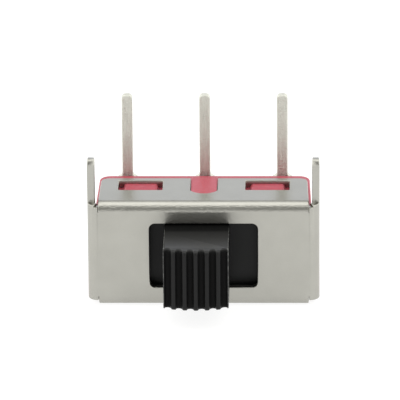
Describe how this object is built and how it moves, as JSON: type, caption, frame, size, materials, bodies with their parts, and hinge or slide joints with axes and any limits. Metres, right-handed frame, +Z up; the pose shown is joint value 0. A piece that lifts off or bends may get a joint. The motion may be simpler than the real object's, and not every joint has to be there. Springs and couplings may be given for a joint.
{
  "type": "slide switch",
  "caption": "Right-angle slide switch for a circuit board: a ribbed black knob slides in a folded steel frame with a red moulded base, upright terminals and solder legs.",
  "frame": {"origin": "middle terminal's centre, on the plane where the circuit board seats (the outer face of the upper flange)", "axes": "+X along the knob's travel, +Y from the knob towards the terminals, +Z up along the terminals, through the board"},
  "size_m": [0.0138, 0.0112, 0.0112],
  "materials": {
    "nickel_plated_steel": "bright nickel plate on cold-rolled sheet",
    "red_nylon": "moulded, satin",
    "tinned_brass": "tin plate on stamped strip",
    "black_nylon": "moulded, satin, ribbed",
    "silvered_bronze": "silver plate on spring strip",
    "spring_steel": "drawn wire"
  },
  "bodies": {
    "housing": {"frame": "nickel_plated_steel", "base": "red_nylon", "terminal_left": "tinned_brass", "terminal_common": "tinned_brass", "terminal_right": "tinned_brass"},
    "slider": {"slider": "black_nylon", "contact_bridge": "silvered_bronze", "contact_spring": "spring_steel"}
  },
  "joints": [
    {"name": "slider_travel", "type": "slide", "parent": "housing", "child": "slider", "axis": [1, 0, 0], "range_m": [-0.00071, 0.00149]}
  ]
}
